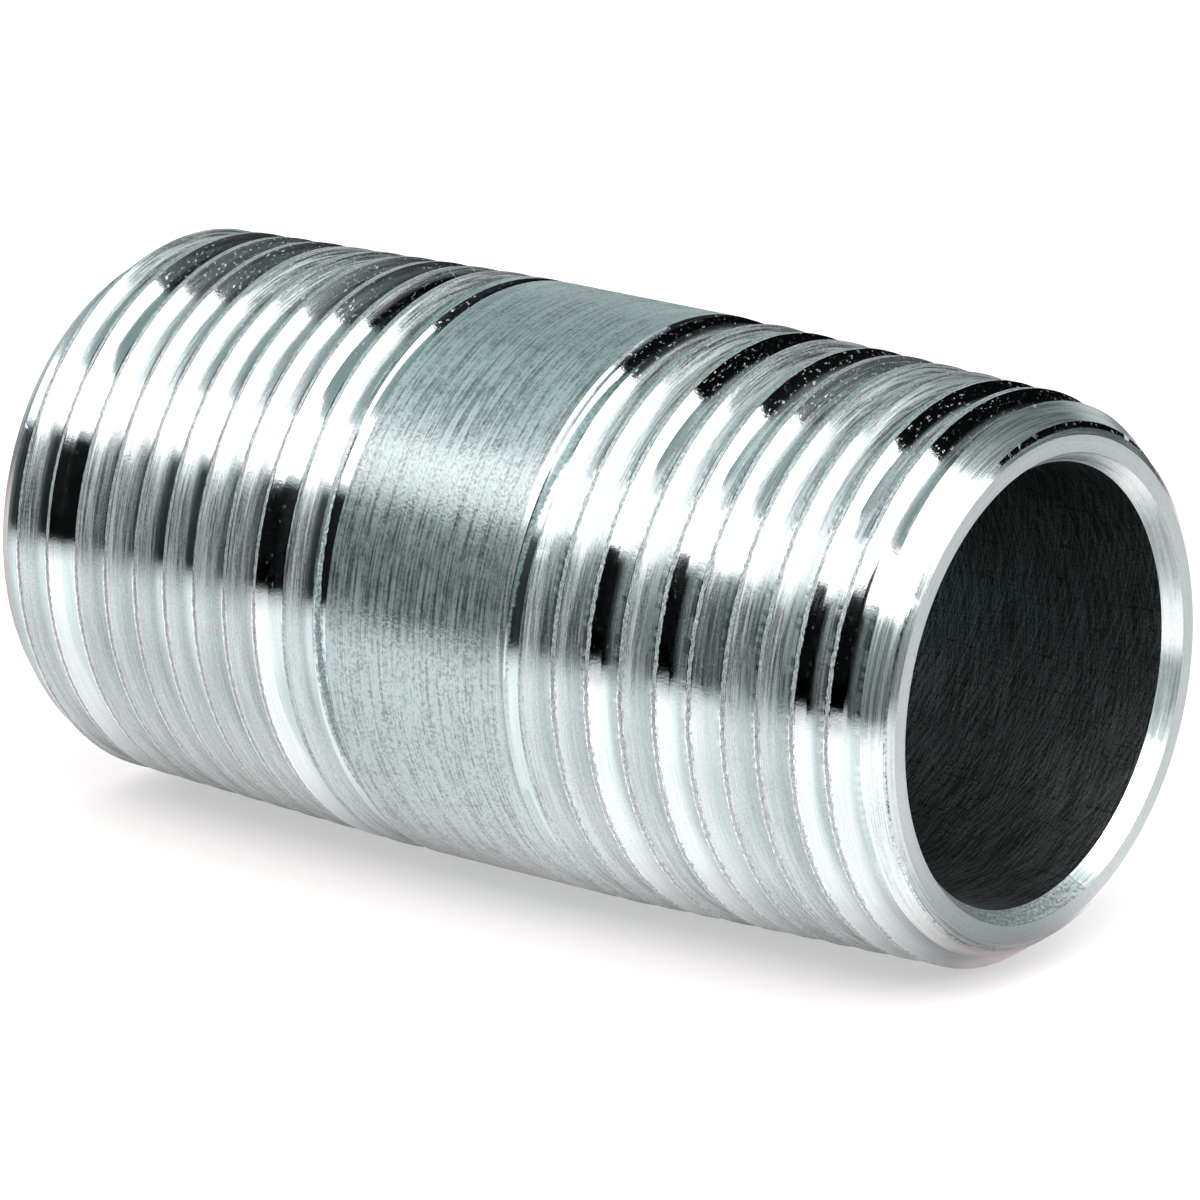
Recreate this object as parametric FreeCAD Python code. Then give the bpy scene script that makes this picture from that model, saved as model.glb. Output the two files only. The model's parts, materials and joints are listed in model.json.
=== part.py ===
import FreeCAD, Part
import math
import os

# Threaded pipe nipple, 3/4 inch, 2 inches long: one piece of pipe with a
# through bore and a right-hand taper thread cut on each end.
#
# The pipe axis is X, the origin is the middle of the bore, Z is up.
# End A is the +X end, end B the -X end.  Lengths are millimetres.

# Pipe
LENGTH = 50.8            # over both end faces
PIPE_OD = 26.67          # plain barrel between the threads
BORE_D = 19.95

# Thread form
PITCH = 25.4 / 14.0      # 14 threads per inch
TAPER = 1.0 / 16.0       # on diameter
FLANK_ANGLE = 30.0       # each flank, from a plane square to the axis
PITCH_D_AT_END = 24.466  # pitch diameter at the end face
CREST_FLAT = 0.30        # width of the flat on a full thread
ROOT_FLAT = 0.104        # width of the flat at the bottom of the groove

# Pipe ends, the same at both
FACE_OD = 22.55          # outer edge of the flat end face
EDGE_BREAK_OD = 23.26    # outer edge of the small steep edge break next to it
EDGE_BREAK_LEN = 0.21
BEVEL_ANGLE = 35.0       # main bevel, from the axis
BORE_CHAMFER_D = 21.02   # outer edge of the countersink in the bore
BORE_CHAMFER_LEN = 0.80

# Thread phase: distance from the end-A face to the first crest (end A) and to
# the innermost full crest (end B), both on the line along the pipe at CREST_ANGLE.
CREST_ANGLE = 159.1      # degrees, from +Y towards +Z
CREST_A = 0.763
CREST_B = 32.340

# Ring grooves at the barrel side of each thread, where the die stopped:
# (distance from end-A face, depth).  Each thread ends at its first ring.
RUNOUT_A = ((19.31, 0.635), (19.915, 0.30))
RUNOUT_B = ((30.18, 0.52),)

# Cutting tools
THREAD_TURNS = 12.0      # enough to start outside the end face
THREAD_CUT_HEIGHT = 1.45 # radial height of the thread section
RING_CLEARANCE = 0.6     # ring section height above the barrel

# Derived sizes
HALF_LENGTH = LENGTH / 2.0
BARREL_R = PIPE_OD / 2.0
FLANK_TAN = math.tan(math.radians(FLANK_ANGLE))
SLOPE = TAPER / 2.0      # radius gained per mm from the end face
SHARP_HEIGHT = PITCH / (2.0 * FLANK_TAN)  # thread height without flats
CREST_R = PITCH_D_AT_END / 2.0 + SHARP_HEIGHT / 2.0 - CREST_FLAT / (2.0 * FLANK_TAN)
ROOT_R = PITCH_D_AT_END / 2.0 - SHARP_HEIGHT / 2.0 + ROOT_FLAT / (2.0 * FLANK_TAN)

ORIGIN = FreeCAD.Vector(0, 0, 0)
PIPE_AXIS = FreeCAD.Vector(1, 0, 0)


def revolve(points):
    """Solid of revolution about X from (x, radius) corners."""
    corners = [FreeCAD.Vector(x, radius, 0) for x, radius in points]
    wire = Part.makePolygon(corners + corners[:1])
    return Part.Face(wire).revolve(ORIGIN, PIPE_AXIS, 360)


def mirrored(points):
    """The same (x, radius) corners at the opposite end of the pipe."""
    return [(-x, radius) for x, radius in points]


def groove_half_width(height):
    """Half the groove width at a radial height above its bottom."""
    return ROOT_FLAT / 2.0 + height * FLANK_TAN


def make_blank():
    """The turned pipe: barrel, two thread cones, bevelled ends, bore."""
    edge_break_r = EDGE_BREAK_OD / 2.0
    bevel_rise = math.tan(math.radians(BEVEL_ANGLE))
    # Distances from the end face to where the thread cone meets bevel and barrel
    bevel_end = (CREST_R - edge_break_r + bevel_rise * EDGE_BREAK_LEN) / (bevel_rise - SLOPE)
    cone_end = (BARREL_R - CREST_R) / SLOPE
    # End-A corners: outside from face to barrel, then the countersink
    outer = [
        (HALF_LENGTH, FACE_OD / 2.0),
        (HALF_LENGTH - EDGE_BREAK_LEN, edge_break_r),
        (HALF_LENGTH - bevel_end, CREST_R + SLOPE * bevel_end),
        (HALF_LENGTH - cone_end, BARREL_R),
    ]
    inner = [
        (HALF_LENGTH, BORE_CHAMFER_D / 2.0),
        (HALF_LENGTH - BORE_CHAMFER_LEN, BORE_D / 2.0),
    ]
    return revolve(mirrored(outer) + outer[::-1] + inner + mirrored(inner[::-1]))


def thread_cutter(start):
    """Right-hand tapered groove along local +Z, from the free end inwards.

    start is the local Z of the first groove centre; the end face is at 0.
    """
    start_r = ROOT_R + SLOPE * start
    bottom = groove_half_width(0.0)
    top = groove_half_width(THREAD_CUT_HEIGHT)
    section = [(0.0, -bottom), (THREAD_CUT_HEIGHT, -top),
               (THREAD_CUT_HEIGHT, top), (0.0, bottom)]
    corners = [FreeCAD.Vector(start_r + height, 0, z) for height, z in section]
    profile = Part.makePolygon(corners + corners[:1])
    cone_angle = math.degrees(math.atan(SLOPE))
    helix = Part.makeLongHelix(PITCH, THREAD_TURNS * PITCH, start_r, cone_angle)
    cutter = Part.Wire(helix.Edges).makePipeShell([profile], True, True)
    cutter.translate(FreeCAD.Vector(0, 0, start))
    return cutter


def placed_thread_cutter(end, stop, crest):
    """Thread cutter at end A (end = 1) or end B (end = -1).

    stop and crest are distances from the end-A face.
    """
    stop_depth = stop if end > 0 else LENGTH - stop
    start = stop_depth - THREAD_TURNS * PITCH
    start_from_a = start if end > 0 else LENGTH - start
    cutter = thread_cutter(start)
    # Local Z points into the pipe and local X to +Y; local Y goes to -Z at
    # end A and to +Z at end B, so both are rotations and stay right-handed.
    to_pipe = FreeCAD.Matrix(0, 0, -end, end * HALF_LENGTH,
                             1, 0, 0, 0,
                             0, -end, 0, 0,
                             0, 0, 0, 1)
    cutter.Placement = FreeCAD.Placement(to_pipe).multiply(cutter.Placement)
    # Groove centres lie half a pitch from the crests
    angle = CREST_ANGLE - 360.0 * (start_from_a - crest - PITCH / 2.0) / PITCH
    cutter.rotate(ORIGIN, PIPE_AXIS, angle)
    return cutter


def ring_cutter(x, depth):
    """Cutter for a ring groove in the barrel, with the thread's flank angle."""
    bottom = groove_half_width(0.0)
    top = groove_half_width(depth + RING_CLEARANCE)
    return revolve([
        (x - bottom, BARREL_R - depth),
        (x - top, BARREL_R + RING_CLEARANCE),
        (x + top, BARREL_R + RING_CLEARANCE),
        (x + bottom, BARREL_R - depth),
    ])


def make_nipple():
    body = make_blank()
    for end, runout, crest in ((1, RUNOUT_A, CREST_A), (-1, RUNOUT_B, CREST_B)):
        body = body.cut(placed_thread_cutter(end, runout[0][0], crest))
    for distance, depth in RUNOUT_A + RUNOUT_B:
        body = body.cut(ring_cutter(HALF_LENGTH - distance, depth))
    # Keep the pipe and leave any loose slivers from the cuts
    return max(body.Solids, key=lambda solid: solid.Volume)


os.makedirs("parts", exist_ok=True)
make_nipple().exportStep("parts/pipe_nipple.step")
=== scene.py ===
"""A steel pipe nipple with a tapered thread cut on each end.

It lies along X with its axis through y = z = 0. Face A looks towards +X, face B towards -X.
The metal is built in mm as (along, radius, angle): `along` runs from face A towards -X and
`angle` is in degrees from a reference generator, growing from +Z towards +Y. It is one closed
skin, turned into scene metres at the end. Shader lengths are in metres unless noted.
"""
import json
import math
from dataclasses import dataclass

import bmesh
import bpy
import numpy as np
from mathutils import Matrix, Vector


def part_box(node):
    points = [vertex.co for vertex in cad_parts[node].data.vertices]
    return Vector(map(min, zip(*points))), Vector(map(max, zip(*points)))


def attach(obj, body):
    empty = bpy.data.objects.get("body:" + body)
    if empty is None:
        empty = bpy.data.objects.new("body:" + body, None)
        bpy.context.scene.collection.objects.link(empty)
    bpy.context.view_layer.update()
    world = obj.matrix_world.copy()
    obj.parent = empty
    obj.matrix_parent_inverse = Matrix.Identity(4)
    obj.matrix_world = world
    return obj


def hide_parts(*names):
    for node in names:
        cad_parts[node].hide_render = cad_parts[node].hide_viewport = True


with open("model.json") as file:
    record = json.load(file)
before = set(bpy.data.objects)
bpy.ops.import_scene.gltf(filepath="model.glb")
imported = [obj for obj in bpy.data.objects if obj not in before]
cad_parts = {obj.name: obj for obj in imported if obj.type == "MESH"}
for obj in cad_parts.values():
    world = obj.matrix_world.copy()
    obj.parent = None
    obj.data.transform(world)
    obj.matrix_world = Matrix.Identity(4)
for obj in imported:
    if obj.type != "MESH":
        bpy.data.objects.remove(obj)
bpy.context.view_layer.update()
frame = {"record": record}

# ------------------------------------------------------------------ sizes (mm)
NODE = "pipe_nipple"
box_low, box_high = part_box(NODE)
LENGTH = (box_high.x - box_low.x) * 1000.0
R_OD = (box_high.y - box_low.y) * 500.0
FACE_A_X = box_high.x * 1000.0
R_BORE = [m for m in frame["record"]["mounts"] if m["name"] == "flow_bore"][0]["dims"]["r_mm"]

# thread form
PITCH = 25.4 / 14.0
TAN = math.tan(math.radians(30.0))
COT = 1.0 / TAN
TAPER = 1.0 / 32.0            # growth of the radius per mm from the free end
PITCH_DIAMETER = 24.466       # at the free end
CREST_FLAT = 0.30
ROOT_FLAT = 0.104
SHARP_HEIGHT = PITCH / (2.0 * TAN)
R_CREST = PITCH_DIAMETER / 2.0 + SHARP_HEIGHT / 2.0 - CREST_FLAT / (2.0 * TAN)
R_ROOT = PITCH_DIAMETER / 2.0 - SHARP_HEIGHT / 2.0 + ROOT_FLAT / (2.0 * TAN)
FLANK_BEND = 0.394            # from the root, where the +X flank changes slope
TURN_LENGTH = 81.7            # round one turn, for the texture coordinates

# faces, broken edge, bevel and countersink
FACE_R = 11.275
BREAK_R = 11.63
BREAK_LEN = 0.21
BEVEL_RISE = math.tan(math.radians(35.0))
SINK_R = 10.51
SINK_LEN = 0.80

REFERENCE_ANGLE = 159.1       # of the reference generator, from +Y towards +Z
THREAD_A_END = 20.45          # the thread zones end here, with plain barrel between
THREAD_B_START = 29.50
SPLIT_A = 18.80               # rows follow the helix outside the splits, circles between them
SPLIT_B = 30.62

# mesh grid
COLUMNS = 320
ANGLES = -180.0 + 360.0 * np.arange(COLUMNS + 1) / COLUMNS
# rows of one pitch, mm from the crest centre
ROW_OFFSETS = np.array([0.0, 0.10, 0.15, 0.50, 0.855, PITCH / 2, PITCH / 2 + 0.20,
                        PITCH / 2 + FLANK_BEND, PITCH / 2 + 0.45, PITCH - 0.15, PITCH - 0.10])
ROWS_PER_PITCH = len(ROW_OFFSETS)
SCAN_STEP = 0.004             # spacing of the samples that look for corners in the profile
RUN_GAP = 0.0061              # samples closer than this belong to one corner
MIN_BEND = 0.02               # least change of slope that counts as a corner
ROW_GAP = 0.004               # least distance from a moved row to its neighbours

# Finish of each turn's visible flank: roughness near the root, near the crest in the middle
# zone, near the crest in the upper zone, and where it changes (0 root .. 1 crest).
FINISH_A = {
    -1: (.07, .06, .06, .5), 0: (.24, .06, .07, .34), 1: (.40, .06, .07, .32),
    2: (.44, .42, .42, .5), 3: (.42, .32, .36, .8), 4: (.26, .22, .20, .45),
    5: (.30, .07, .09, .38), 6: (.44, .38, .34, .5), 7: (.38, .06, .05, .26),
    8: (.42, .26, .32, .7), 9: (.38, .34, .12, .5), 10: (.34, .34, .08, .5),
    11: (.12, .10, .08, .5)}
FINISH_B = {
    -2: (.08, .10, .12, .50), -1: (.10, .40, .36, .28), 0: (.07, .10, .34, .62),
    1: (.10, .44, .16, .22), 2: (.10, .44, .20, .20), 3: (.08, .44, .38, .29),
    4: (.08, .44, .40, .28), 5: (.09, .42, .16, .20), 6: (.10, .42, .18, .20),
    7: (.07, .10, .16, .40), 8: (.08, .36, .42, .32), 9: (.14, .30, .4, .30),
    10: (.3, .3, .3, .50)}
OTHER_FINISH = (.35, .35, .35, .5)


@dataclass
class ThreadEnd:
    is_a: bool
    crest: float          # a crest centre on the reference generator
    stops: tuple          # (along, depth) of each stop ring, the outermost first
    finish: dict
    helix_zone: tuple     # where the rows follow the helix
    texture_shift: float
    jag: float            # how torn the crests are
    seed_step: int

    def from_face(self, along):
        return along if self.is_a else LENGTH - along

    def turn_number(self, along, angle):
        """Turns from the reference crest; whole numbers are crest centres."""
        return (along - self.crest - PITCH * angle / 360.0) / PITCH


END_A = ThreadEnd(True, 0.763, ((19.31, 0.635), (19.915, 0.30)), FINISH_A,
                  (0.0, SPLIT_A), 0, 1.0, 0)
END_B = ThreadEnd(False, 32.340, ((30.18, 0.52),), FINISH_B,
                  (SPLIT_B, LENGTH), 2000.0, 0.4, 1)


# ------------------------------------------------------------------- functions
def line_noise(place, seed, cell):
    """Smooth value noise in -1..1 along a line."""
    table = np.random.RandomState(seed).uniform(-1, 1, (8192,))
    cells = np.asarray(place) / cell
    i = np.floor(cells).astype(int)
    part = cells - i
    part = part * part * (3 - 2 * part)
    return table[i % 8192] * (1 - part) + table[(i + 1) % 8192] * part


def smooth(value, start, stop):
    part = np.clip((value - start) / (stop - start), 0, 1)
    return part * part * (3 - 2 * part)


def logistic(value):
    return 1 / (1 + math.exp(-value))


# ------------------------------------------------------------- outer profile
LAYER_SURFACE = ("barrel", "thread", "bevel", "bevel", "thread", "thread")


def layers(end, along, angle):
    """Radii of every surface that could bound the metal, in the order of LAYER_SURFACE."""
    depth = end.from_face(along)
    barrel = np.full_like(along, R_OD)
    cone = R_CREST + depth * TAPER
    bevel = BREAK_R + (depth - BREAK_LEN) * BEVEL_RISE
    broken_edge = FACE_R + depth * (BREAK_R - FACE_R) / BREAK_LEN
    turn = np.floor(end.turn_number(along, angle))
    root = end.crest + PITCH * angle / 360.0 + (turn + 0.5) * PITCH
    offset = along - root
    far_flank = np.maximum(-offset - ROOT_FLAT / 2, 0) * COT
    # the flank that faces +X is convex: 28.7 deg low down, 36 deg above
    near_flank = np.minimum(1.827 * offset, 0.72 + 1.377 * (offset - FLANK_BEND))
    groove = R_ROOT + depth * TAPER + np.where(offset > 0, near_flank, far_flank)
    # the last turn rises out of the metal before it reaches the stop ring
    inward = 1 if end.is_a else -1
    degrees_to_stop = inward * (end.stops[0][0] - root) / PITCH * 360.0
    lift = (1 - smooth(degrees_to_stop, 0.0, 55.0)) * 0.62
    if end.is_a:                                    # its first turn bites a little deeper
        lift = lift - 0.085 * (1 - smooth(root, 0.35, 0.60))
    groove = np.where(degrees_to_stop < 0, 99.0, groove + lift)
    ring = np.full_like(along, 99.0)
    for place, cut in end.stops:
        wall = np.maximum(np.abs(along - place) - ROOT_FLAT / 2, 0) * COT
        ring = np.minimum(ring, R_OD - cut + wall)
    return np.stack([barrel, cone, bevel, broken_edge, groove, ring])


def outer_radius(end, along, angle):
    return layers(end, along, angle).min(0)


def profile_corners(end, low, high, angle):
    """Places where the straight runs on either side of each corner meet."""
    scan = np.arange(low, high, SCAN_STEP)
    slope = np.diff(outer_radius(end, scan, np.full_like(scan, angle))) / SCAN_STEP
    runs = []
    for i in np.where(np.abs(np.diff(slope)) > MIN_BEND)[0] + 1:
        if runs and scan[i] - runs[-1][-1] < RUN_GAP:
            runs[-1].append(scan[i])
        else:
            runs.append([scan[i]])
    if not runs:
        return []
    rough = np.array([float(np.mean(run)) for run in runs])
    probe = rough[:, None] + np.array([-0.014, -0.008, 0.008, 0.014])
    r = outer_radius(end, probe.ravel(), np.full(probe.size, angle)).reshape(-1, 4)
    before = (r[:, 1] - r[:, 0]) / 0.006            # slopes between the probes
    after = (r[:, 3] - r[:, 2]) / 0.006
    bends = np.abs(after - before) > MIN_BEND
    meet = ((r[:, 0] - before * probe[:, 0] - r[:, 3] + after * probe[:, 3])
            / np.where(bends, after - before, 1.0))
    return list(np.where(bends & (np.abs(meet - rough) < 0.008), meet, rough))


def nearest_rows(rows, corner, count):
    return [int(i) for i in np.argsort(np.abs(rows - corner))[:count]]


def move_row(rows, corner, candidates, used, low, high):
    """Moves the first candidate row that is free onto a corner and returns its number."""
    for i in candidates:
        below = rows[i - 1] if i > 0 else low
        above = rows[i + 1] if i + 1 < len(rows) else high
        if i not in used and below < corner - ROW_GAP and above > corner + ROW_GAP:
            rows[i] = corner
            used.add(i)
            return i
    return None


# ------------------------------------------------------------------------ skin
SURFACES = ("thread", "barrel", "bevel", "face", "sink", "bore")    # material slots


class Skin:
    """Points and faces, with the data of each face corner."""

    def __init__(self):
        self.points = []          # (along, radius, angle)
        self.faces = []
        self.uv = []              # (mm across the pitch, mm round the helix)
        self.finish = []
        self.tear = []
        self.slots = []

    def point(self, along, radius, angle):
        self.points.append((along, radius, angle))
        return len(self.points) - 1

    def ring(self, along, radius):
        return [self.point(along, radius, ANGLES[j]) for j in range(COLUMNS)]

    def face(self, face, surface, uv, finish, tear):
        self.faces.append(face)
        self.uv.append(uv)
        self.finish.append(finish)
        self.tear.append(tear)
        self.slots.append(SURFACES.index(surface))

    def band(self, start, stations, stop, surface):
        """Joins two rings by way of rings at (along, radius) stations."""
        previous = start
        for ring in [self.ring(*station) for station in stations] + [stop]:
            for j in range(COLUMNS):
                k = (j + 1) % COLUMNS
                face = [previous[j], ring[j], ring[k], previous[k]]
                angles = (ANGLES[j], ANGLES[j], ANGLES[j + 1], ANGLES[j + 1])
                uv = [(self.points[v][0], angle / 360.0 * TURN_LENGTH)
                      for v, angle in zip(face, angles)]
                self.face(face, surface, uv, [.3] * 4, [0.0] * 4)
            previous = ring


skin = Skin()


def flank_finish(end, turn, across, angle):
    """Roughness at a place on a turn; `across` is in mm from its crest."""
    root, middle, upper, change = end.finish.get(turn, OTHER_FINISH)
    top = logistic((angle - 34.0) / 5.0)
    crest = middle * (1 - top) + upper * top
    height = (across - PITCH / 2) / (PITCH / 2)
    if height > 0:
        blend = logistic((height - change) * 34)
        return root * (1 - blend) + crest * blend
    blend = logistic((-height - change) * 20)
    return 0.12 * (1 - blend) + 0.45 * crest * blend


def add_thread_face(face, angles, end):
    """Adds one face of a thread zone; the layer at its centre gives the material."""
    centre = sum(skin.points[v][0] for v in face) / len(face)
    mid_angle = sum(angles) / len(face)
    bounds = layers(end, np.array([centre]), np.array([mid_angle]))[:, 0]
    turn = math.floor(end.turn_number(centre, mid_angle))
    uv, finish, tear = [], [], []
    for v, angle in zip(face, angles):
        across = skin.points[v][0] - end.crest - PITCH * angle / 360.0 - turn * PITCH
        uv.append((across, (turn + angle / 360.0) * TURN_LENGTH + end.texture_shift))
        finish.append(flank_finish(end, turn, across, angle))
        tear.append(logistic((angle - 42.0) / 3.0))
    skin.face(face, LAYER_SURFACE[int(bounds.argmin())], uv, finish, tear)


def circular_zone(end, low, high, start, stop, count):
    """Circles through the stop rings, with rows moved onto every corner of the profile."""
    margin = 0.012
    grid = []
    for j in range(COLUMNS):
        rows = np.linspace(low, high, count + 2)[1:-1]
        used = set()
        for corner in profile_corners(end, low, high, ANGLES[j]):
            if low + margin <= corner <= high - margin:
                move_row(rows, corner, nearest_rows(rows, corner, 3), used, low, high)
        radii = outer_radius(end, rows, np.full(count, ANGLES[j]))
        inner = [skin.point(rows[i], radii[i], ANGLES[j]) for i in range(count)]
        grid.append([start[j]] + inner + [stop[j]])
    for j in range(COLUMNS):
        k = (j + 1) % COLUMNS
        for i in range(count + 1):
            add_thread_face([grid[j][i], grid[j][i + 1], grid[k][i + 1], grid[k][i]],
                            [ANGLES[j], ANGLES[j], ANGLES[j + 1], ANGLES[j + 1]], end)


def fit_helix_rows(end, rows, angle, followed):
    """Moves rows onto the corners; `followed` has the (corner, row) of the column before."""
    low, high = end.helix_zone
    used = set()
    found = []
    for corner in profile_corners(end, low, high, angle):
        if corner < low + HELIX_MARGIN or corner > high - HELIX_MARGIN:
            continue
        # a corner stays on the row it had
        kept = [i for last, i in followed
                if -0.003 < corner - last < 0.009 and abs(rows[i] - corner) < 0.075]
        row = move_row(rows, corner, kept + nearest_rows(rows, corner, 4), used,
                       -math.inf, math.inf)
        if row is not None:
            found.append((corner, row))
    return found


HELIX_MARGIN = 0.03       # rows this close to a closing circle merge with it


def helical_zone(end):
    """Rows follow the thread; they are clamped on the circles that close the zone."""
    low, high = end.helix_zone
    first = int(math.floor((low - end.crest) / PITCH)) - 2
    last = int(math.ceil((high - end.crest) / PITCH)) + 2
    starts = np.concatenate([end.crest + k * PITCH + ROW_OFFSETS for k in range(first, last)])
    count = len(starts)
    ids = np.empty((count, COLUMNS + 1), int)
    low_ring, high_ring = [], []
    followed = []
    for j in range(COLUMNS):
        angle = ANGLES[j]
        rows = starts + PITCH * angle / 360.0
        followed = fit_helix_rows(end, rows, angle, followed)
        closing = outer_radius(end, np.array([low, high]), np.array([angle, angle]))
        closing[0 if end.is_a else 1] = FACE_R
        low_ring.append(skin.point(low, closing[0], angle))
        high_ring.append(skin.point(high, closing[1], angle))
        radii = outer_radius(end, rows.clip(low, high), np.full(count, angle))
        for i in range(count):
            if rows[i] <= low + HELIX_MARGIN:
                ids[i, j] = low_ring[j]
            elif rows[i] >= high - HELIX_MARGIN:
                ids[i, j] = high_ring[j]
            else:
                ids[i, j] = skin.point(rows[i], radii[i], angle)
    # the seam column holds the points of the first one, one pitch of rows further on
    ids[:count - ROWS_PER_PITCH, COLUMNS] = ids[ROWS_PER_PITCH:, 0]
    ids[count - ROWS_PER_PITCH:, COLUMNS] = high_ring[0]
    for j in range(COLUMNS):
        for i in range(count - 1):
            corners = ((i, j), (i + 1, j), (i + 1, j + 1), (i, j + 1))
            face, angles = [], []
            for row, column in corners:
                if ids[row, column] not in face:
                    face.append(ids[row, column])
                    angles.append(ANGLES[column])
            if len(face) >= 3:
                add_thread_face(face, angles, end)
    return low_ring, high_ring


def build_skin():
    """Goes out along the thread zones and barrel, then back through the bore."""
    face_a, split_a = helical_zone(END_A)
    split_b, face_b = helical_zone(END_B)
    barrel_a = skin.ring(THREAD_A_END, R_OD)
    barrel_b = skin.ring(THREAD_B_START, R_OD)
    circular_zone(END_A, SPLIT_A, THREAD_A_END, split_a, barrel_a, 18)
    circular_zone(END_B, THREAD_B_START, SPLIT_B, barrel_b, split_b, 14)
    stations = np.linspace(THREAD_A_END, THREAD_B_START, 10)[1:-1]
    skin.band(barrel_a, [(along, R_OD) for along in stations], barrel_b, "barrel")

    # the outer rows of a face or cone lie close to its edges, as shares of its width
    face_shares = (0.08, 0.5, 0.92)
    sink_shares = (0.06, 0.5, 0.94)
    face_width = FACE_R - SINK_R
    sink_width = SINK_R - R_BORE
    sink_b = skin.ring(LENGTH, SINK_R)
    skin.band(face_b, [(LENGTH, FACE_R - face_width * t) for t in face_shares], sink_b, "face")
    bore_b = skin.ring(LENGTH - SINK_LEN, R_BORE)
    skin.band(sink_b, [(LENGTH - SINK_LEN * t, SINK_R - sink_width * t) for t in sink_shares],
              bore_b, "sink")
    bore_a = skin.ring(SINK_LEN, R_BORE)
    stations = np.linspace(LENGTH - SINK_LEN, SINK_LEN, 11)[1:-1]
    skin.band(bore_b, [(along, R_BORE) for along in stations], bore_a, "bore")
    sink_a = skin.ring(0.0, SINK_R)
    skin.band(bore_a, [(SINK_LEN * (1 - t), R_BORE + sink_width * t) for t in sink_shares],
              sink_a, "sink")
    skin.band(sink_a, [(0.0, SINK_R + face_width * t) for t in face_shares], face_a, "face")


def tear_crests(end, along, radius, angle):
    """Roughens the crests of one thread, changing `along` and `radius` in place."""
    if end.is_a:
        chosen = along < THREAD_A_END - 0.05
    else:
        chosen = along > THREAD_B_START + 0.05
    place, place_angle = along[chosen], angle[chosen]
    turns = end.turn_number(place, place_angle)
    turn = np.round(turns)
    across = (turns - turn) * PITCH
    helix = (turn + place_angle / 360.0) * TURN_LENGTH
    depth = end.from_face(place)
    near_crest = 1 - smooth(np.abs(across), 0.16, 0.34)
    inside = smooth(depth, 0.25, 0.6) * (1 - smooth(depth, 18.0, 18.8))
    full_height = smooth(radius[chosen], R_CREST - 0.30, R_CREST - 0.05)
    weight = near_crest * inside * full_height
    rough = (line_noise(helix, 11 + end.seed_step, 0.42) * 0.55
             + line_noise(helix, 21 + end.seed_step, 1.7) * 0.45)
    sideways = line_noise(helix, 31 + end.seed_step, 0.55)
    edge = smooth(np.abs(across), 0.05, 0.12)
    radius[chosen] = radius[chosen] + weight * (-0.008 - 0.002 * edge + 0.012 * end.jag * rough)
    along[chosen] = place + (weight * 0.014 * end.jag * sideways
                             * (1 - smooth(np.abs(across), 0.20, 0.34)))


def scene_points(along, radius, angle):
    """Pipe coordinates in mm to scene metres."""
    turned = np.radians(REFERENCE_ANGLE - angle)
    return np.stack([FACE_A_X - along, radius * np.cos(turned), radius * np.sin(turned)],
                    1) / 1000.0


def corner_normals(mesh):
    normals = np.empty(len(mesh.loops) * 3, np.float32)
    mesh.corner_normals.foreach_get("vector", normals)
    return normals.reshape(-1, 3)


def set_normals(mesh, clean):
    """The flanks keep the shading of the clean cut, so only the crests show their tears."""
    reference = mesh.copy()
    reference.vertices.foreach_set("co", clean.ravel())
    reference.update()
    across = np.array([sum(c[0] for c in uv) / len(uv) for uv in skin.uv])
    on_crest = np.minimum(across, PITCH - across) < 0.14
    on_crest = np.repeat(on_crest, [len(face) for face in skin.faces])
    normals = np.where(on_crest[:, None], corner_normals(mesh), corner_normals(reference))
    mesh.normals_split_custom_set(normals.tolist())
    bpy.data.meshes.remove(reference)
    mesh.update()


def build_nipple():
    build_skin()
    along, radius, angle = np.array(skin.points).T
    clean = scene_points(along, np.minimum(radius, R_OD), angle)
    for end in (END_A, END_B):
        tear_crests(end, along, radius, angle)
    points = scene_points(along, np.minimum(radius, R_OD), angle)

    mesh = bpy.data.meshes.new("nipple_metal")
    mesh.from_pydata([tuple(p) for p in points], [], skin.faces)
    mesh.update()
    uv = np.array([c for face in skin.uv for c in face], np.float32).ravel()
    mesh.uv_layers.new(name="helix").data.foreach_set("uv", uv)
    for name, values in (("finish", skin.finish), ("tear", skin.tear)):
        attribute = mesh.attributes.new(name, "FLOAT", "CORNER")
        flat = np.array([c for face in values for c in face], np.float32)
        attribute.data.foreach_set("value", flat)
    mesh.polygons.foreach_set("material_index", np.array(skin.slots, np.int32))
    mesh.polygons.foreach_set("use_smooth", np.ones(len(skin.faces), bool))
    mesh.set_sharp_from_angle(angle=math.radians(22.0))
    set_normals(mesh, clean)

    nipple = bpy.data.objects.new("nipple_metal", mesh)
    bpy.context.scene.collection.objects.link(nipple)
    bm = bmesh.new()
    bm.from_mesh(mesh)
    bmesh.ops.recalc_face_normals(bm, faces=bm.faces)
    bm.to_mesh(mesh)
    bm.free()
    return nipple


nipple = build_nipple()


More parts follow.
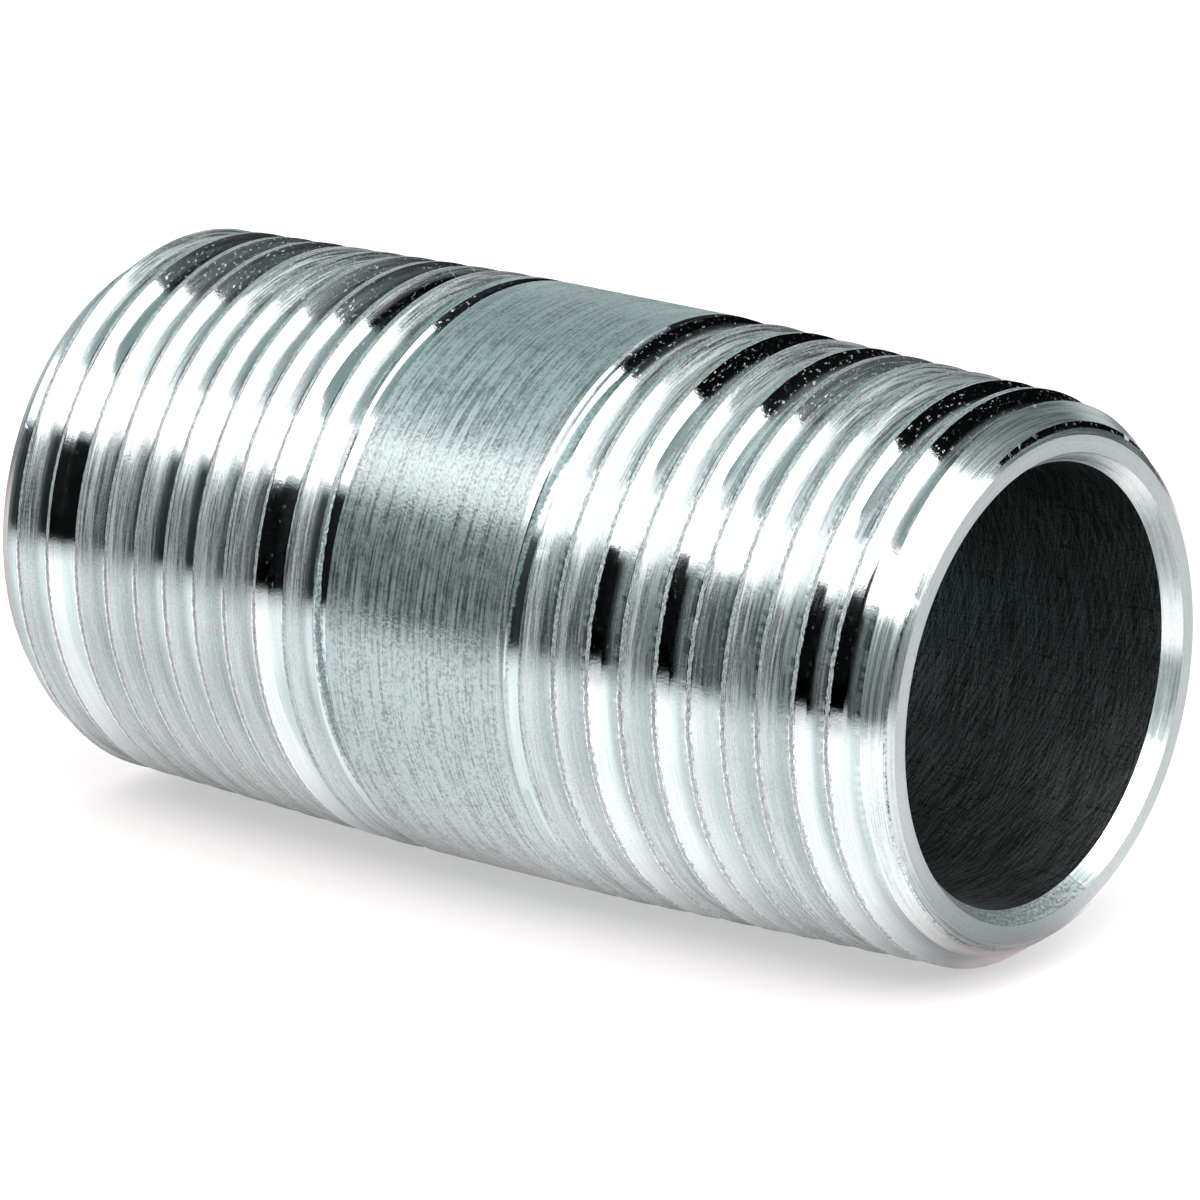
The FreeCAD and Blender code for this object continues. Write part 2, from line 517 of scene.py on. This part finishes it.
# --------------------------------------------------------------- shader helpers
class Wire:
    """The output of a shader node; arithmetic on it adds Math nodes."""

    def __init__(self, graph, socket):
        self.graph = graph
        self.socket = socket

    def __add__(self, other):
        return self.graph.math("ADD", self, other)

    def __radd__(self, other):
        return self.graph.math("ADD", other, self)

    def __sub__(self, other):
        return self.graph.math("SUBTRACT", self, other)

    def __rsub__(self, other):
        return self.graph.math("SUBTRACT", other, self)

    def __mul__(self, other):
        return self.graph.math("MULTIPLY", self, other)

    def __truediv__(self, other):
        return self.graph.math("DIVIDE", self, other)

    def __abs__(self):
        return self.graph.math("ABSOLUTE", self)

    def at_least(self, limit):
        return self.graph.math("MAXIMUM", self, limit)

    def at_most(self, limit):
        return self.graph.math("MINIMUM", self, limit)

    def ramp(self, start, stop, low=0.0, high=1.0):
        """Goes smoothly from `low` at `start` to `high` at `stop`."""
        return self.graph.wire("ShaderNodeMapRange", {
            "Value": self, "From Min": start, "From Max": stop, "To Min": low, "To Max": high},
            interpolation_type="SMOOTHSTEP")


def swing(noise, amount):
    """Noise centred on zero, times an amount."""
    return (noise - 0.5) * amount


def darken(mask, depth):
    """1 off the mask, less by `depth` on it."""
    return 1.0 - mask * depth


def dip(mask, depth):
    """1 on the mask, less by `depth` off it."""
    return 1.0 - (1.0 - mask) * depth


def mottle(noise, depth, loss=0.6):
    """Varies a tone by `depth`; `loss` is the share of it that lies below 1."""
    return (1.0 - depth * loss) + noise.ramp(0.3, 0.7) * depth


def line_at(noise, level, width):
    """Thin lines where the noise passes a level."""
    return abs(noise - level).ramp(width, 0.0)


class Graph:
    """A node tree with its output node."""

    def __init__(self, owner, output_kind):
        owner.use_nodes = True
        self.tree = owner.node_tree
        self.tree.nodes.clear()
        self.output = self.node(output_kind)

    def node(self, kind, inputs=(), **settings):
        node = self.tree.nodes.new(kind)
        for name, value in settings.items():
            setattr(node, name, value)
        for key, value in dict(inputs).items():
            self.put(node, key, value)
        return node

    def put(self, node, key, value):
        if isinstance(value, Wire):
            self.tree.links.new(value.socket, node.inputs[key])
        else:
            node.inputs[key].default_value = value

    def wire(self, kind, inputs=(), output=0, **settings):
        return self.out(self.node(kind, inputs, **settings), output)

    def out(self, node, output=0):
        return Wire(self, node.outputs[output])

    def surface(self, shader):
        self.put(self.output, "Surface", shader)

    def math(self, operation, first, second=None, clamp=False):
        inputs = {0: first} if second is None else {0: first, 1: second}
        return self.wire("ShaderNodeMath", inputs, operation=operation, use_clamp=clamp)

    def degrees(self, y, x):
        return self.math("ARCTAN2", y, x) * (180 / math.pi)

    def noise(self, vector, scale=1.0, detail=2.0, rough=0.5, dims="3D"):
        return self.wire("ShaderNodeTexNoise", {
            "Vector": vector, "Scale": scale, "Detail": detail, "Roughness": rough},
            output="Fac", noise_dimensions=dims)

    def scale(self, vector, factors):
        return self.wire("ShaderNodeVectorMath", {0: vector, 1: factors}, operation="MULTIPLY")

    def combine(self, x, y, z):
        return self.wire("ShaderNodeCombineXYZ", {"X": x, "Y": y, "Z": z})

    def separate(self, vector):
        node = self.node("ShaderNodeSeparateXYZ", {"Vector": vector})
        return [self.out(node, i) for i in range(3)]

    def coordinates(self, space):
        return self.wire("ShaderNodeTexCoord", output=space)

    def attribute(self, name):
        return self.wire("ShaderNodeAttribute", output="Fac", attribute_name=name)

    def mix_color(self, share, first, second):
        return self.wire("ShaderNodeMix", {0: share, 6: first, 7: second}, output=2,
                         data_type="RGBA")

    def mix_shader(self, share, first, second):
        return self.wire("ShaderNodeMixShader", {0: share, 1: first, 2: second})

    def bump(self, height, distance, normal=None):
        inputs = {"Strength": 1.0, "Distance": distance, "Height": height}
        if normal is not None:
            inputs["Normal"] = normal
        return self.wire("ShaderNodeBump", inputs, output="Normal")


BLACK = (0.0, 0.0, 0.0, 1)
WHITE = (1, 1, 1, 1)
STEEL = (0.585, 0.70, 0.705, 1)
DULL_STEEL = (0.330, 0.452, 0.457, 1)
SCATTER_ROUGHNESS = 0.58


class Metal(Graph):
    """A metallic material with a main lobe."""

    def __init__(self, name):
        self.material = bpy.data.materials.new(name)
        super().__init__(self.material, "ShaderNodeOutputMaterial")
        self.lobe = self.node("ShaderNodeBsdfPrincipled", {"Metallic": 1.0})

    def brush(self, amount, radial=False):
        """Draws reflections out across the tool marks, which run round the axis."""
        self.put(self.lobe, "Anisotropic", amount)
        across = (1.0, 0.0, 0.0)
        if radial:
            across = self.scale(self.coordinates("Object"), (0.0, 1.0, 1.0))
        tangent = self.wire("ShaderNodeVectorTransform", {0: across}, vector_type="VECTOR",
                            convert_from="OBJECT", convert_to="WORLD")
        self.put(self.lobe, "Tangent", tangent)

    def set_lobe(self, color, roughness, normal):
        self.put(self.lobe, "Base Color", color)
        self.put(self.lobe, "Roughness", roughness)
        self.put(self.lobe, "Normal", normal)

    def add_scatter(self, share, color, normal):
        """Mixes in a broad round lobe, the light scattered by torn or etched metal."""
        broad = self.wire("ShaderNodeBsdfPrincipled", {
            "Metallic": 1.0, "Roughness": SCATTER_ROUGHNESS, "Base Color": color,
            "Normal": normal})
        self.surface(self.mix_shader(share, self.out(self.lobe), broad))


# ------------------------------------------------------------------- materials
def thread_material():
    metal = Metal("cut_thread")
    metal.brush(0.94)
    uv = metal.wire("ShaderNodeUVMap", uv_map="helix")
    across, around, _ = metal.separate(uv)          # mm; crests at 0 and PITCH
    finish = metal.attribute("finish")
    tear = metal.attribute("tear")
    from_crest = metal.math("MINIMUM", across, PITCH - across)

    def pattern(across, around, detail, rough):
        """Noise with this many cells per mm each way."""
        return metal.noise(metal.scale(uv, (across, around, 1.0)), 1.0, detail, rough, "2D")
    torn = pattern(across=8.0, around=3.2, detail=4.0, rough=0.75)
    fine = pattern(across=17.0, around=0.26, detail=4.0, rough=0.72)
    broad = pattern(across=5.5, around=0.07, detail=3.0, rough=0.6)
    grain = pattern(across=15.0, around=8.0, detail=2.0, rough=0.7)
    broken = pattern(across=10.0, around=1.3, detail=3.0, rough=0.7)
    patch = pattern(across=1.2, around=0.22, detail=2.0, rough=0.5)
    specks = pattern(across=11.0, around=3.0, detail=3.0, rough=0.65)
    crest_torn = pattern(across=13.0, around=5.0, detail=3.0, rough=0.75)

    # masks: the ragged crest (narrower and straighter at end B), the flank, dull turns
    end_b = around.ramp(1400.0, 1500.0)
    edge = (0.098 - end_b * 0.028) + swing(torn, 0.20 - end_b * 0.08)
    crest = from_crest.ramp(edge + 0.010, edge - 0.006)
    flank = 1.0 - crest
    dull = finish.ramp(0.08, 0.40)
    # specks, more of them where the metal is torn
    speck = (specks - (0.665 - tear * 0.045)).ramp(0.0, 0.09)
    speck_share = patch.ramp(0.36, 0.60, 0.12, 1.0) * (0.30 + tear * 0.70)
    speck = (speck * flank) * speck_share

    # roughness follows the finish and varies with the streaks, most on dull turns
    roughness = finish * 0.60 + 0.02
    variation = swing(broad, 0.18) + swing(fine, 0.20)
    roughness = roughness + variation * (0.25 + dull * 0.9)
    roughness = roughness.at_least(0.05).at_most(0.5)

    # streaks and pores darken the metal
    depth = 0.28 + dull * (0.80 + tear * 0.35)
    tone = dip(fine.ramp(0.38, 0.58), depth * 0.20) * dip(broad.ramp(0.38, 0.56), depth * 0.14)
    tone = tone * dip(grain.ramp(0.32, 0.58), depth * 0.15)
    # a broken line of painted shade where the torn crest overhangs the flank
    shade = abs(from_crest - (edge + 0.030)).ramp(0.030, 0.010)
    shade = shade * torn.ramp(0.42, 0.52, 0.25, 0.9)
    tone = tone * darken(shade, 0.55)

    # relief: streaks, breaks, grain and specks on the flank, then the torn crest
    relief = flank * (0.12 + dull * 0.98)
    normal = metal.bump(fine * relief, distance=3.4e-6)
    breaks = broken * (relief * patch.ramp(0.35, 0.65, 0.5, 1.3))
    normal = metal.bump(breaks, distance=4.4e-6, normal=normal)
    normal = metal.bump(grain * (flank * (0.45 + dull * 0.6)), distance=2.6e-6, normal=normal)
    normal = metal.bump(speck, distance=1.6e-6, normal=normal)
    normal = metal.bump(crest_torn * crest, distance=6e-5, normal=normal)
    metal.set_lobe(metal.mix_color(tone, BLACK, STEEL), roughness, normal)

    # scattered light, from the crest and from the dull and speckled parts of the flank
    crest_color = metal.mix_color(crest_torn.ramp(0.36, 0.66), (0.060, 0.105, 0.108, 1),
                                  (0.300, 0.49, 0.50, 1))
    flank_color = metal.mix_color(tone, BLACK, (0.54, 0.67, 0.675, 1))
    color = metal.mix_color(crest, flank_color, crest_color)
    variation = swing(fine, 1.25) + swing(grain, 0.40) + swing(broad, 0.60)
    scatter = dull * 0.42 + variation * dull
    scatter = scatter * (flank * (1.0 + tear * 0.40))
    scatter = scatter.at_least(0.0) + speck * 0.85
    share = metal.math("ADD", crest * 0.72, scatter, clamp=True)
    metal.add_scatter(share, color, normal)
    return metal.material


def turned_material(name, roughness, relief, mark_scale, color=STEEL, anisotropy=0.8,
                    radial=False, scatter=0.3, streak=0.25, blotch=0.2, edge_line=False,
                    rough_low=False, radius_sign=1.0, grit=1.0, grain_tone=0.14):
    """Fine turning marks round the pipe axis.

    mark_scale is in marks per mm; streak, blotch and grain_tone are depths of tone;
    relief and grit scale the bumps of all marks and of the grain.
    """
    spread = 0.3              # how far the marks vary the roughness
    around_scale = 60.0       # of the marks, per metre across the axis
    metal = Metal(name)
    metal.brush(anisotropy, radial)
    place = metal.coordinates("Object")
    x, y, z = metal.separate(place)
    radius = metal.math("SQRT", y * y + z * z)
    travel = abs(x) + radius * radius_sign          # grows along the cut, on faces too

    def marks(scale, around, detail, rough):
        vector = metal.combine(travel * (scale * 1000.0), y * around, z * around)
        return metal.noise(vector, 1.0, detail, rough)
    fine = marks(mark_scale, around_scale * 4, detail=3.0, rough=0.65)
    broad = marks(mark_scale * 0.3, around_scale, detail=2.0, rough=0.5)
    grain = metal.noise(place, scale=6500.0, detail=2.0, rough=0.65)
    blots = metal.noise(place, scale=1300.0, detail=3.0, rough=0.65)

    varied = roughness + swing(broad, spread) + swing(fine, spread)
    varied = (varied + swing(blots, blotch * 0.7)).at_least(0.08)
    tone = mottle(fine, streak) * mottle(blots, blotch) * mottle(grain, grain_tone, loss=0.55)
    if edge_line:             # a broken sliver of shade beside the edge, except near the top
        from_face = FACE_A_X - abs(x) * 1000.0
        line = abs(from_face - 0.25).ramp(0.075, 0.025)
        line = line * (grain.ramp(0.36, 0.56, 0.95, 0.25) * fine.ramp(0.3, 0.6, 1.0, 0.5))
        tone = tone * darken(line, z.ramp(0.0095, 0.0075))
    share = scatter + swing(blots, scatter * blotch * 3.0)
    share = share + swing(fine, scatter * streak * 3.0)
    if rough_low:             # the tool left the lower part of the cone rough
        rough_from = -70.9    # degrees from +Y
        angle = metal.degrees(z, y)
        lower = angle.ramp(rough_from - 0.4, rough_from - 1.4) * angle.ramp(-150.0, -140.0)
        tone = tone * darken(lower, grain.ramp(0.35, 0.65, 0.72, 0.50))
        share = share + lower * 0.7

    normal = metal.bump(fine, distance=0.000002 * relief)
    normal = metal.bump(grain, distance=0.000001 * relief * grit, normal=normal)
    metal.set_lobe(metal.mix_color(tone, BLACK, color), varied, normal)
    less_red = (color[0] * 0.90, color[1], color[2], 1)
    metal.add_scatter(share, metal.mix_color(tone, BLACK, less_red), normal)
    return metal.material


def bore_material():
    metal = Metal("bore_scratched")
    x, y, z = metal.separate(metal.coordinates("Object"))
    along = x * 1000.0                                     # mm along the axis
    around = metal.math("ARCTAN2", z, y) * R_BORE          # mm round the wall

    def marks(first, second, detail, rough):
        """Noise on two axes, each given as its cells per mm (along, around)."""
        vector = metal.combine(along * first[0] + around * first[1],
                               along * second[0] + around * second[1], 0.0)
        return metal.noise(vector, 1.0, detail, rough, "2D")
    rings = marks((12.0, 0.9), (-0.03, 0.24), detail=4.0, rough=0.74)
    cross = marks((9.5, -3.1), (0.12, 0.26), detail=4.0, rough=0.74)
    lines = marks((0.05, 1.9), (0.13, 0.01), detail=2.0, rough=0.6)
    grain = marks((8.5, 0.0), (0.0, 8.5), detail=2.0, rough=0.75)

    ring_scratches = line_at(rings, level=0.5, width=0.024) * cross.ramp(0.48, 0.58)
    cross_scratches = line_at(cross, level=0.52, width=0.018) * rings.ramp(0.50, 0.60)
    drawn = line_at(lines, level=0.5, width=0.018)
    tone = 0.21 + rings.ramp(0.42, 0.66) * 0.40
    tone = tone + cross.ramp(0.48, 0.70) * 0.48
    tone = tone * grain.ramp(0.32, 0.62, 0.50, 1.35) * darken(drawn, 0.60)
    # painted light: the scratches are painted brighter low in the bore, where the wall faces up
    painted_light_low = z.ramp(0.004, -0.006, 1.0, 2.3)
    tone = tone + (ring_scratches + cross_scratches) * painted_light_low
    metal.set_lobe(metal.mix_color(tone, BLACK, (0.56, 0.665, 0.67, 1)), 0.34,
                   metal.bump(rings + grain, distance=2.2e-6))
    metal.surface(metal.out(metal.lobe))
    return metal.material


# in the order of SURFACES
for material in (
        thread_material(),
        turned_material("brushed_barrel", roughness=0.28, relief=1.8, mark_scale=8.0,
                        color=DULL_STEEL, anisotropy=0.9, scatter=0.52, streak=0.72,
                        blotch=0.25, grit=6.0, grain_tone=0.60),
        turned_material("turned_bevel", roughness=0.22, relief=1.8, mark_scale=9.0,
                        anisotropy=0.9, scatter=0.25, streak=0.50, blotch=0.05,
                        edge_line=True, radius_sign=-1.0),
        turned_material("turned_face", roughness=0.34, relief=1.2, mark_scale=10.0,
                        color=(0.56, 0.66, 0.665, 1), anisotropy=0.6, radial=True,
                        scatter=0.30, streak=0.12, blotch=0.05),
        turned_material("turned_sink", roughness=0.24, relief=2.0, mark_scale=8.0,
                        color=(0.80, 0.92, 0.92, 1), scatter=0.42, streak=0.34, blotch=0.08,
                        rough_low=True),
        bore_material()):
    nipple.data.materials.append(material)

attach(nipple, "root")
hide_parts(NODE)


# ----------------------------------------------------------------------- stage
FAR_GLOW = (1.0, 0.76, 0.76, 1)       # tints of the light that the metal reflects
NEAR_GLOW = (1.0, 0.89, 0.89, 1)      # the same, on its +X side


def floor_material():
    material = bpy.data.materials.new("studio_floor")
    graph = Graph(material, "ShaderNodeOutputMaterial")
    diffuse = graph.wire("ShaderNodeBsdfDiffuse", {"Color": (0.93, 0.93, 0.93, 1)})
    geometry = graph.node("ShaderNodeNewGeometry")
    x, y, _ = graph.separate(graph.out(geometry, "Position"))
    incoming_x, _, incoming_z = graph.separate(graph.out(geometry, "Incoming"))

    # what the metal sees of the floor: painted light, an emitting sheet that darkens close to
    # the pipe as painted shade, less bright for rays that travel towards +X
    toward = (incoming_x * -1.0).ramp(0.02, 0.22)
    aside = abs(y)
    level = aside.ramp(0.003, 0.012, 0.27, 1.0) * aside.ramp(0.016, 0.036, 1.0, 1.22)
    level = level * (2.60 - toward * 0.90)
    # a slight painted shade under the middle of the pipe
    middle = x.ramp(-0.017, -0.011) * x.ramp(0.004, -0.002)
    middle = middle * (1.0 - toward) * aside.ramp(0.030, 0.018)
    level = level * darken(middle, 0.08)
    level = level * x.ramp(-0.026, 0.012, 0.82, 1.0)
    # a deeper painted shade past the +X end, on the +Y side
    beyond = y.ramp(0.010, 0.030) * x.ramp(0.028, 0.036)
    level = level * darken(beyond, 0.42)
    painted_floor_light_color = graph.mix_color(toward, (1.0, 0.79, 0.79, 1), NEAR_GLOW)

    # rays that graze the floor see less of it
    def sine(degrees):
        return math.sin(math.radians(degrees))
    grazing = (incoming_z.ramp(sine(5.9), sine(9.2))
               * incoming_z.ramp(sine(7.0), sine(16.0), 0.42, 1.0))
    painted_floor_light = graph.wire("ShaderNodeEmission", {"Color": painted_floor_light_color, "Strength": level * grazing})

    # seen by the camera: pale paper with a light contact shadow
    ray = graph.node("ShaderNodeLightPath")
    paper = graph.wire("ShaderNodeEmission", {"Color": (1.0, 1.0, 1.0, 1), "Strength": 1.0})
    paper_share = graph.out(ray, "Is Camera Ray") * 0.45
    seen = graph.mix_shader(paper_share, diffuse, paper)
    graph.surface(graph.mix_shader(graph.out(ray, "Is Glossy Ray"), seen, painted_floor_light))
    return material


def build_floor():
    """A square sheet that the pipe rests on."""
    half, z = 3, box_low.z
    mesh = bpy.data.meshes.new("studio_floor")
    mesh.from_pydata([(-half, -half, z), (half, -half, z), (half, half, z), (-half, half, z)],
                     [], [(0, 1, 2, 3)])
    floor = bpy.data.objects.new("studio_floor", mesh)
    bpy.context.scene.collection.objects.link(floor)
    mesh.materials.append(floor_material())


def build_world():
    """White to the camera and to diffuse light; a studio of cards to reflections."""
    world = bpy.data.worlds.new("studio")
    bpy.context.scene.world = world
    graph = Graph(world, "ShaderNodeOutputWorld")
    x, y, z = graph.separate(graph.coordinates("Generated"))
    elevation = graph.math("ARCSINE", z) * (180 / math.pi)
    # the direction laid out on a plane at height 1
    height = z.at_least(0.02)
    plane_x = x / height
    plane_y = y / height

    # overhead softbox: its +Y edge runs obliquely
    slant = (plane_x.at_least(-0.4).at_most(0.4) + 0.4) * 0.85
    slant = slant + (plane_x - 0.4).at_least(0.0) * 0.66
    past_edge = plane_y - (slant + -0.50)
    softbox = plane_x.ramp(-1.82, -1.58) * plane_x.ramp(3.05, 2.35)
    softbox = softbox * (plane_y.ramp(-1.54, -1.32, 0.0, 0.26)
                         + plane_y.ramp(-1.32, -1.16, 0.0, 0.74))
    softbox = softbox * past_edge.ramp(0.04, -0.05)
    softbox = softbox * plane_x.ramp(-0.98, -0.78, 2.8, 6.4)
    softbox = softbox * z.ramp(0.1, 0.2)

    # a strip of ceiling past that edge
    ceiling = plane_x.ramp(-0.72, -0.52) * plane_x.ramp(0.20, 0.0)
    ceiling = ceiling * plane_y.ramp(0.36, 0.22) * past_edge.ramp(-0.05, 0.04)
    ceiling = ceiling * z.ramp(0.5, 0.6) * 0.62

    # a wall on the -X, +Y side, brighter low down
    wall = plane_x.ramp(-0.35, -0.62) * past_edge.ramp(-0.05, 0.04)
    wall = wall * z.ramp(-0.05, 0.0) * elevation.ramp(45.0, 5.0, 0.68, 0.92)
    wall = wall * y.ramp(-0.15, 0.02)

    ambient = 0.004
    strength = softbox.at_least(ceiling).at_least(wall) + ambient
    softbox_color = graph.mix_color(x.ramp(-0.05, 0.15), FAR_GLOW, NEAR_GLOW)
    color = graph.mix_color(softbox.at_most(1.0), WHITE, softbox_color)

    ray = graph.node("ShaderNodeLightPath")
    plain = graph.out(ray, "Is Camera Ray").at_least(graph.out(ray, "Is Diffuse Ray"))
    strength = graph.wire("ShaderNodeMix", {0: plain, 2: strength, 3: 1.0}, data_type="FLOAT")
    color = graph.mix_color(plain, color, WHITE)
    graph.surface(graph.wire("ShaderNodeBackground", {"Color": color, "Strength": strength}))


def build_light():
    """A softbox overhead that aims at the origin and leaves no reflection."""
    place = Vector((0.05, -0.20, 0.80))
    light = bpy.data.lights.new("top_softbox", "AREA")
    light.shape = "SQUARE"
    light.size = 1.0
    light.energy = 3.0
    holder = bpy.data.objects.new("top_softbox", light)
    holder.location = place
    holder.rotation_euler = (-place).to_track_quat("-Z", "Y").to_euler()
    holder.visible_glossy = False
    bpy.context.scene.collection.objects.link(holder)


def build_camera():
    """A long lens that looks at the pipe from the +X, -Y side and from above."""
    camera = bpy.data.cameras.new("camera")
    camera.sensor_fit = "HORIZONTAL"
    camera.sensor_width = 36.0
    camera.lens = 253.7
    camera.clip_start = 0.01
    camera.clip_end = 20
    holder = bpy.data.objects.new("camera", camera)
    up = Vector((-0.1782, 0.2276, 0.9573))
    back = Vector((0.5902, -0.7538, 0.2890))
    back.normalize()
    right = up.cross(back).normalized()
    up = back.cross(right).normalized()
    from_face_a = Vector((15.109, -21.668, 8.268))      # in pipe radii
    pose = Matrix((right, up, back)).transposed().to_4x4()
    pose.translation = Vector((FACE_A_X, 0, 0)) / 1000.0 + from_face_a * R_OD / 1000.0
    holder.matrix_world = pose
    bpy.context.scene.collection.objects.link(holder)
    bpy.context.scene.camera = holder


build_floor()
build_world()
build_light()
build_camera()
bpy.context.scene.view_settings.view_transform = "Standard"
bpy.context.scene.view_settings.look = "None"
